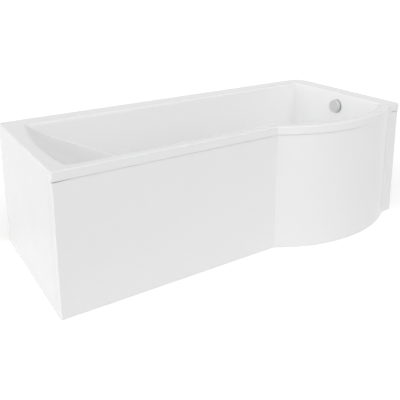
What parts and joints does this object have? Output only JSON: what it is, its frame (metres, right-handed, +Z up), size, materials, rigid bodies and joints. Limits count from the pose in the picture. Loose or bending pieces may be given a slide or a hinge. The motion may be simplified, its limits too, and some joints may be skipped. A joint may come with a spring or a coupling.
{
  "type": "asymmetric bathtub",
  "caption": "White acrylic shower bath, straight at the wall and bowed out at the shower end in front, with panels, levelling feet, pop-up waste and turning overflow knob.",
  "frame": {"origin": "on the floor, under the centre of the bounding box", "axes": "+X along the bath from the backrest end to the shower end, +Y towards the back wall, +Z up"},
  "size_m": [1.7, 0.808, 0.55],
  "materials": {
    "acrylic_white": "glossy white sanitary acrylic",
    "chrome": "polished chrome plate",
    "zinc_steel": "zinc-plated steel, slightly dull",
    "chipboard": "raw pressed chips",
    "timber": "raw sawn softwood",
    "black_rubber": "matt",
    "white_plastic": "moulded, semi-matt",
    "grey_plastic": "extruded, semi-matt",
    "black_plastic": "moulded, matt",
    "brass": "turned, unplated"
  },
  "bodies": {
    "bath": {"backrest_saddle": "timber", "base_board": "chipboard", "bath_shell": "acrylic_white", "clip_screws": "zinc_steel", "end_panel": "acrylic_white", "end_panel_stay": "zinc_steel", "front_panel": "acrylic_white", "front_panel_stays": "zinc_steel", "guide_tube": "zinc_steel", "outlet_nut": "white_plastic", "outlet_pipe": "white_plastic", "overflow_body": "white_plastic", "overflow_gasket": "black_rubber", "overflow_pipe": "grey_plastic", "overflow_rosette": "chrome", "panel_clips": "zinc_steel", "panel_seam_strip": "white_plastic", "pipe_nuts": "white_plastic", "pull_wire": "zinc_steel", "rail_backrest": "zinc_steel", "rail_middle": "zinc_steel", "rail_nuts": "zinc_steel", "rail_screws": "zinc_steel", "rail_shower": "zinc_steel", "rim_blocks": "timber", "stay_screws": "zinc_steel", "trap_cap": "white_plastic", "trap_cup": "white_plastic", "trap_union_nut": "white_plastic", "wall_hook_back_left": "zinc_steel", "wall_hook_back_right": "zinc_steel", "wall_hook_end": "zinc_steel", "waste_body": "white_plastic", "waste_flange": "chrome", "waste_gasket": "black_rubber"},
    "foot_backrest_front": {"foot_stem_backrest_front": "zinc_steel", "foot_pad_backrest_front": "black_plastic"},
    "foot_backrest_back": {"foot_stem_backrest_back": "zinc_steel", "foot_pad_backrest_back": "black_plastic"},
    "foot_middle_front": {"foot_stem_middle_front": "zinc_steel", "foot_pad_middle_front": "black_plastic"},
    "foot_middle_back": {"foot_stem_middle_back": "zinc_steel", "foot_pad_middle_back": "black_plastic"},
    "foot_shower_front": {"foot_stem_shower_front": "zinc_steel", "foot_pad_shower_front": "black_plastic"},
    "foot_shower_back": {"foot_stem_shower_back": "zinc_steel", "foot_pad_shower_back": "black_plastic"},
    "overflow_control": {"overflow_knob": "chrome", "knob_shaft": "brass", "knob_grub_screw": "zinc_steel"},
    "plug": {"pop_up_plug": "chrome", "plug_seal": "black_rubber", "plug_stem": "brass"},
    "lever": {"lifting_lever": "brass"}
  },
  "joints": [
    {"name": "foot_backrest_front_height", "type": "slide", "parent": "bath", "child": "foot_backrest_front", "axis": [0, 0, 1], "range_m": [-0.025, 0.015]},
    {"name": "foot_backrest_back_height", "type": "slide", "parent": "bath", "child": "foot_backrest_back", "axis": [0, 0, 1], "range_m": [-0.025, 0.015]},
    {"name": "foot_middle_front_height", "type": "slide", "parent": "bath", "child": "foot_middle_front", "axis": [0, 0, 1], "range_m": [-0.025, 0.015]},
    {"name": "foot_middle_back_height", "type": "slide", "parent": "bath", "child": "foot_middle_back", "axis": [0, 0, 1], "range_m": [-0.025, 0.015]},
    {"name": "foot_shower_front_height", "type": "slide", "parent": "bath", "child": "foot_shower_front", "axis": [0, 0, 1], "range_m": [-0.025, 0.015]},
    {"name": "foot_shower_back_height", "type": "slide", "parent": "bath", "child": "foot_shower_back", "axis": [0, 0, 1], "range_m": [-0.025, 0.015]},
    {"name": "knob_turn", "type": "hinge", "parent": "bath", "child": "overflow_control", "pos_m": [0.75591, 0.0071, 0.4825], "axis": [-0.9945, 0, 0.1045], "range_deg": [0, 90]},
    {"name": "plug_lift", "type": "slide", "parent": "bath", "child": "plug", "axis": [0, 0, 1], "range_m": [0, 0.01]},
    {"name": "lever_swing", "type": "hinge", "parent": "bath", "child": "lever", "pos_m": [0.544, 0.0071, 0.08], "axis": [0, 1, 0], "range_deg": [0, 30]}
  ],
  "couplings": [
    {"joint": "plug_lift", "follows": "knob_turn", "m_per_rad": 0.006366},
    {"joint": "lever_swing", "follows": "knob_turn", "ratio": 0.33333}
  ]
}
